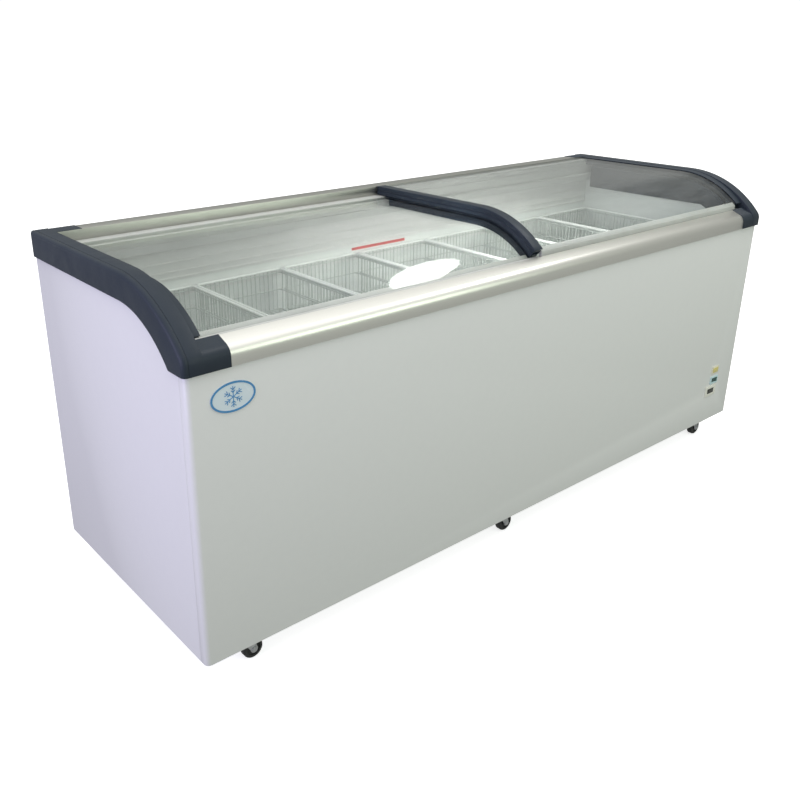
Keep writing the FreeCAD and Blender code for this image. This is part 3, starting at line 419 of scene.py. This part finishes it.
def bent(points, radius, steps=3):
    """The points with each inner corner turned into a short arc."""
    path = [Vector(points[0])]
    for before, corner, after in zip(points, points[1:], points[2:]):
        before, corner, after = Vector(before), Vector(corner), Vector(after)
        into, out = (corner - before).normalized(), (after - corner).normalized()
        start, end = corner - into * radius, corner + out * radius
        for k in range(steps + 1):
            t = k / steps
            path.append(start * (1 - t) ** 2 + corner * (2 * t * (1 - t)) + end * t ** 2)
    return path + [Vector(points[-1])]


def add_tube(bm, path, radius, sides=6, closed=False):
    """A round wire along a path, capped unless it closes on itself."""
    count = len(path)
    rings, across = [], None
    for i, point in enumerate(path):
        before = path[i - 1] if i or closed else point
        after = path[(i + 1) % count] if i + 1 < count or closed else point
        along = (after - before).normalized()
        if across is None:
            across = along.orthogonal().normalized()
        across = (across - along * across.dot(along)).normalized()
        up = along.cross(across)
        turns = [2 * math.pi * k / sides for k in range(sides)]
        rings.append([bm.verts.new(point + (across * math.cos(a) + up * math.sin(a)) * radius)
                      for a in turns])
    pairs = list(zip(rings, rings[1:])) + ([(rings[-1], rings[0])] if closed else [])
    for a, b in pairs:
        for k in range(sides):
            bm.faces.new((a[k], a[(k + 1) % sides], b[(k + 1) % sides], b[k]))
    if not closed:
        bm.faces.new(rings[0][::-1])
        bm.faces.new(rings[-1])


def add_plate(bm, outline, back, front):
    """A flat plate between two depths, from an outline of (x, z) points."""
    near = [bm.verts.new((x, front, z)) for x, z in outline]
    far = [bm.verts.new((x, back, z)) for x, z in outline]
    bm.faces.new(near)
    bm.faces.new(far[::-1])
    for k in range(len(outline)):
        n = (k + 1) % len(outline)
        bm.faces.new((near[n], near[k], far[k], far[n]))


# Wire baskets

WIRE, HEAVY_WIRE, HOOP, RIM_WIRE = 0.0010, 0.0017, 0.0019, 0.0030
PITCH, HEAVY_EVERY = 0.0133, 3
WALL_INSET, END_GAP, LEAN, WIRE_BEND = 0.0048, 0.011, 0.0008, 0.005
CORNER, BOTTOM_HOOP_INSET, MIDDLE_HOOP, TOP_HOOP = 0.010, 0.0012, 0.060, 0.009


def hoop(low, high, inset, z, corner):
    """Closed rounded rectangle at height z, inset from the box."""
    x0, x1, y0, y1 = low.x + inset, high.x - inset, low.y + inset, high.y - inset
    loop = [(x0, (y0 + y1) / 2, z), (x0, y0, z), (x1, y0, z), (x1, y1, z), (x0, y1, z),
            (x0, (y0 + y1) / 2, z)]
    return bent(loop, corner, 4)[:-1]


def spread(low, high, pitch):
    count = round((high - low) / pitch)
    return [low + (high - low) * k / count for k in range(count + 1)]


def wire_basket(node):
    """Hoops and two crossing sets of wires, every third one heavier, inside the node's box."""
    low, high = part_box(node)
    bm = bmesh.new()
    wall = WALL_INSET
    top, bottom = high.z - RIM_WIRE, low.z + HOOP + 2 * HEAVY_WIRE
    for z in (bottom, low.z + MIDDLE_HOOP, top - TOP_HOOP):
        inset = wall - HOOP if z > bottom else wall + BOTTOM_HOOP_INSET
        add_tube(bm, hoop(low, high, inset, z, CORNER), HOOP, 6, True)
    x0, x1, y0, y1 = low.x + wall, high.x - wall, low.y + wall, high.y - wall
    floor = low.z + HEAVY_WIRE
    for number, x in enumerate(spread(x0 + END_GAP, x1 - END_GAP, PITCH)):
        ends = [(x, y0 - LEAN, top), (x, y0 + LEAN, floor), (x, y1 - LEAN, floor), (x, y1 + LEAN, top)]
        add_tube(bm, bent(ends, WIRE_BEND), WIRE if number % HEAVY_EVERY else HEAVY_WIRE)
    over = floor + 2 * HEAVY_WIRE
    for number, y in enumerate(spread(y0 + END_GAP, y1 - END_GAP, PITCH)):
        if number % HEAVY_EVERY:
            for x in (x0, x1):
                add_tube(bm, [Vector((x, y, bottom)), Vector((x, y, top))], WIRE)
            continue
        ends = [(x0 - LEAN, y, top), (x0 + LEAN, y, over), (x1 - LEAN, y, over), (x1 + LEAN, y, top)]
        add_tube(bm, bent(ends, WIRE_BEND), HEAVY_WIRE)
    return as_mesh(node + "_wire", bm)


def basket_rim(node):
    low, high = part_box(node)
    bm = bmesh.new()
    add_tube(bm, hoop(low, high, RIM_WIRE, high.z - RIM_WIRE, CORNER), RIM_WIRE, 10, True)
    return as_mesh(node + "_rim", bm)


RIM_FINISH = powder_coat("coated_rim", rgb(0.88, 0.90, 0.88), rgb(0.84, 0.86, 0.84), 0.30)
for number in range(1, 8):
    node = f"basket_{number}"
    made = add_object(node + "_wire", wire_basket(node), FINISH["basket_wire"], node)
    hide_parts(node)
    add_object(node + "_rim", basket_rim(node), RIM_FINISH, node)


# Badge on the front: an oval plate with a snowflake

def badge_finish():
    m = Recipe("badge_enamel")
    base = m.mix(m.noise(60.0, 4.0), rgb(0.72, 0.84, 0.92), rgb(0.80, 0.89, 0.95))
    return m.surface(Base_Color=base, Coat_Weight=0.6, Coat_Roughness=0.06,
                     Roughness=m.ramp(m.noise(45.0), [(0.3, 0.18), (0.7, 0.30)]),
                     Normal=m.bump(m.noise(900.0), 0.00003, 0.3))


def ink_finish():
    m = Recipe("badge_ink")
    base = m.mix(m.noise(80.0, 4.0), rgb(0.06, 0.24, 0.52), rgb(0.09, 0.32, 0.62))
    return m.surface(Base_Color=base, Coat_Weight=0.6, Coat_Roughness=0.08,
                     Roughness=m.ramp(m.noise(45.0), [(0.3, 0.2), (0.7, 0.34)]),
                     Normal=m.bump(m.noise(900.0), 0.00003, 0.3))


FRONT_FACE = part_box("front_panel")[0].y
BADGE_X, BADGE_Z, BADGE_HALF_WIDTH, BADGE_HALF_HEIGHT = -0.927, 0.654, 0.050, 0.031
BADGE_THICK, BADGE_RIM, RIM_RAISED, RIM_ROOT = 0.0014, 0.0042, 0.0021, 0.0010
ARM_LENGTH, STROKE = 0.0215, 0.0009
BRANCHES = ((0.0085, 0.0045), (0.0140, 0.0052))


def oval(inset, count=72):
    turns = [2 * math.pi * k / count for k in range(count)]
    return [(BADGE_X + (BADGE_HALF_WIDTH - inset) * math.cos(a),
             BADGE_Z + (BADGE_HALF_HEIGHT - inset) * math.sin(a)) for a in turns]


def badge():
    bm = bmesh.new()
    add_plate(bm, oval(0.0), FRONT_FACE, FRONT_FACE - BADGE_THICK)
    add_object("badge_plate", as_mesh("badge_plate", bm), badge_finish(), "root")
    bm = bmesh.new()
    outer, inner = oval(0.0), oval(BADGE_RIM)
    raised, face = FRONT_FACE - RIM_RAISED, FRONT_FACE - RIM_ROOT
    rings = [[bm.verts.new((x, y, z)) for x, z in line]
             for line, y in ((outer, face), (outer, raised), (inner, raised), (inner, face))]
    count = len(outer)
    for a, b in zip(rings, rings[1:] + rings[:1]):
        for k in range(count):
            n = (k + 1) % count
            bm.faces.new((a[k], a[n], b[n], b[k]))
    for arm in range(6):
        turn = Matrix.Rotation(math.radians(60 * arm), 3, "Y")
        centre = Vector((BADGE_X, FRONT_FACE - BADGE_THICK, BADGE_Z))
        strokes = [((0, 0, 0), (0, 0, ARM_LENGTH))]
        for height, reach in BRANCHES:
            for side in (-1, 1):
                strokes.append(((0, 0, height), (side * reach, 0, height + reach)))
        for start, end in strokes:
            path = [centre + turn @ Vector(start), centre + turn @ Vector(end)]
            add_tube(bm, path, STROKE, 8)
    add_object("badge_rim_and_flake", as_mesh("badge_rim_and_flake", bm), ink_finish(), "root")


badge()


# Load line on the liner's rear wall

STRIP_X0, STRIP_X1, STRIP_Z0, STRIP_Z1, STRIP_THICK = -0.145, 0.062, 0.6985, 0.7065, 0.0008
LINER_REAR_Y = 0.260


def strip_finish():
    m = Recipe("load_line_red")
    base = m.mix(m.noise(70.0, 4.0), rgb(0.62, 0.06, 0.06), rgb(0.72, 0.10, 0.09))
    return m.surface(Base_Color=base, Roughness=m.ramp(m.noise(60.0), [(0.3, 0.34), (0.7, 0.46)]),
                     Normal=m.bump(m.noise(800.0), 0.00003, 0.3))


def load_line():
    bm = bmesh.new()
    outline = [(STRIP_X0, STRIP_Z0), (STRIP_X1, STRIP_Z0), (STRIP_X1, STRIP_Z1), (STRIP_X0, STRIP_Z1)]
    add_plate(bm, outline, LINER_REAR_Y, LINER_REAR_Y - STRIP_THICK)
    strip = as_mesh("load_line_strip", bm)
    add_object("load_line_strip", strip, strip_finish(), "root", smooth=False)


load_line()


# Camera, floor, backdrop and light

def studio_surface(name, tone, glow):
    """Plain surface, slightly uneven, that also gives off some light of its own."""
    m = Recipe(name)
    darker = rgb(tone * 0.985, tone * 0.985, tone * 0.99)
    base = m.mix(m.noise(1.5, 3.0), rgb(tone, tone, tone), darker)
    return m.surface(Base_Color=base, Roughness=0.9, Specular_IOR_Level=0.0,
                     Emission_Color=rgb(1.0, 1.0, 1.0), Emission_Strength=glow)


def floor():
    bm = bmesh.new()
    bmesh.ops.create_grid(bm, x_segments=4, y_segments=4, size=FLOOR_HALF)
    obj = bpy.data.objects.new("floor", as_mesh("floor", bm))
    obj.data.materials.append(studio_surface("floor_white", 0.80, FLOOR_GLOW))
    bpy.context.scene.collection.objects.link(obj)
    obj.visible_diffuse = False
    obj.visible_glossy = False


def backdrop():
    bm = bmesh.new()
    bmesh.ops.create_icosphere(bm, subdivisions=4, radius=BACKDROP_RADIUS)
    obj = bpy.data.objects.new("backdrop", as_mesh("backdrop", bm))
    m = Recipe("backdrop_white")
    glow = m.node("Emission", Color=rgb(1, 1, 1), Strength=BACKDROP_GLOW)
    m.plug(m.out.inputs["Surface"], glow.outputs[0])
    obj.data.materials.append(m.material)
    bpy.context.scene.collection.objects.link(obj)
    for ray in ("visible_diffuse", "visible_glossy", "visible_shadow", "visible_volume_scatter",
                "visible_transmission"):
        setattr(obj, ray, False)


def world():
    made = bpy.data.worlds.new("studio")
    made.use_nodes = True
    tree = made.node_tree
    sky = tree.nodes["Background"]
    place = tree.nodes.new("ShaderNodeTexCoord")
    height = tree.nodes.new("ShaderNodeSeparateXYZ")
    ramp = tree.nodes.new("ShaderNodeValToRGB")
    tree.links.new(place.outputs["Generated"], height.inputs[0])
    tree.links.new(height.outputs["Z"], ramp.inputs["Fac"])
    tree.links.new(ramp.outputs["Color"], sky.inputs["Color"])
    ramp.color_ramp.elements[0].color = WORLD_LOW
    ramp.color_ramp.elements[1].color = WORLD_HIGH
    ramp.color_ramp.elements.new(0.45).color = WORLD_MIDDLE
    sky.inputs["Strength"].default_value = 1.0
    bpy.context.scene.world = made


def softbox(name, place, target, width, height, power, colour, shape="RECTANGLE"):
    lamp = bpy.data.lights.new(name, "AREA")
    lamp.shape = shape
    lamp.size, lamp.size_y = width, height
    lamp.energy = power
    lamp.color = colour
    obj = bpy.data.objects.new(name, lamp)
    obj.location = place
    obj.rotation_mode = "QUATERNION"
    obj.rotation_quaternion = (Vector(target) - Vector(place)).to_track_quat("-Z", "Y")
    bpy.context.scene.collection.objects.link(obj)
    return obj


FLOOR_GLOW = 0.72
FLOOR_HALF, BACKDROP_RADIUS, BACKDROP_GLOW = 300.0, 40.0, 1.05
WORLD_LOW = rgb(0.355, 0.365, 0.35)
WORLD_MIDDLE = rgb(0.43, 0.44, 0.42)
WORLD_HIGH = rgb(1.40, 1.40, 1.38)

CAMERA_PLACE = Vector((-1.7021, -1.6534, 1.3030))
AZIMUTH, ELEVATION, ROLL = (math.radians(a) for a in (-39.165, 21.589, -0.065))
SENSOR_WIDTH = 36.0
LENS = 1.083225 * SENSOR_WIDTH
SHIFT_X, SHIFT_Y = 0.059775, -0.0379


def camera():
    data = bpy.data.cameras.new("camera")
    data.sensor_width = SENSOR_WIDTH
    data.lens = LENS
    data.shift_x, data.shift_y = SHIFT_X, SHIFT_Y
    data.clip_start, data.clip_end = 0.05, 200.0
    obj = bpy.data.objects.new("camera", data)
    ahead = Vector((math.sin(-AZIMUTH) * math.cos(ELEVATION),
                    math.cos(-AZIMUTH) * math.cos(ELEVATION), -math.sin(ELEVATION)))
    right = ahead.cross(Vector((0, 0, 1))).normalized()
    up = right.cross(ahead)
    right, up = (right * math.cos(ROLL) + up * math.sin(ROLL),
                 up * math.cos(ROLL) - right * math.sin(ROLL))
    turn = Matrix((right, up, -ahead)).transposed().to_4x4()
    obj.matrix_world = Matrix.Translation(CAMERA_PLACE) @ turn
    bpy.context.scene.collection.objects.link(obj)
    bpy.context.scene.camera = obj


camera()
floor()
backdrop()
world()
softbox("left_softbox", place=(-4.2, 0.1, 1.2), target=(0, 0, 0.40), width=3.2, height=2.2,
        power=76.0, colour=(0.69, 0.63, 1.0))
softbox("front_softbox", place=(1.2, -4.6, 1.9), target=(0, 0, 0.45), width=3.8, height=2.2,
        power=44.0, colour=(0.88, 1.0, 0.83))
top = softbox("top_softbox", place=(1.3, 0.3, 4.2), target=(0.4, 0, 0.5), width=4.2, height=2.0,
              power=40.0, colour=(1.0, 1.0, 0.98))
top.visible_glossy = False
fill = softbox("well_fill", place=(0.12, -0.14, 0.760), target=(0.12, 0.26, 0.78), width=0.9,
               height=0.04, power=1.9, colour=(1.0, 1.0, 0.96))
fill.visible_camera = False
fill.visible_glossy = False
lamp = softbox("lamp_in_glass", place=(2.03, -0.52, 3.4), target=(-0.37, -0.265, 0.78), width=1.15,
               height=0.44, power=17.0, colour=(1.0, 1.0, 0.97), shape="ELLIPSE")
lamp.visible_camera = False
lamp.visible_diffuse = False

bpy.context.scene.view_settings.view_transform = "Standard"
bpy.context.scene.view_settings.look = "None"
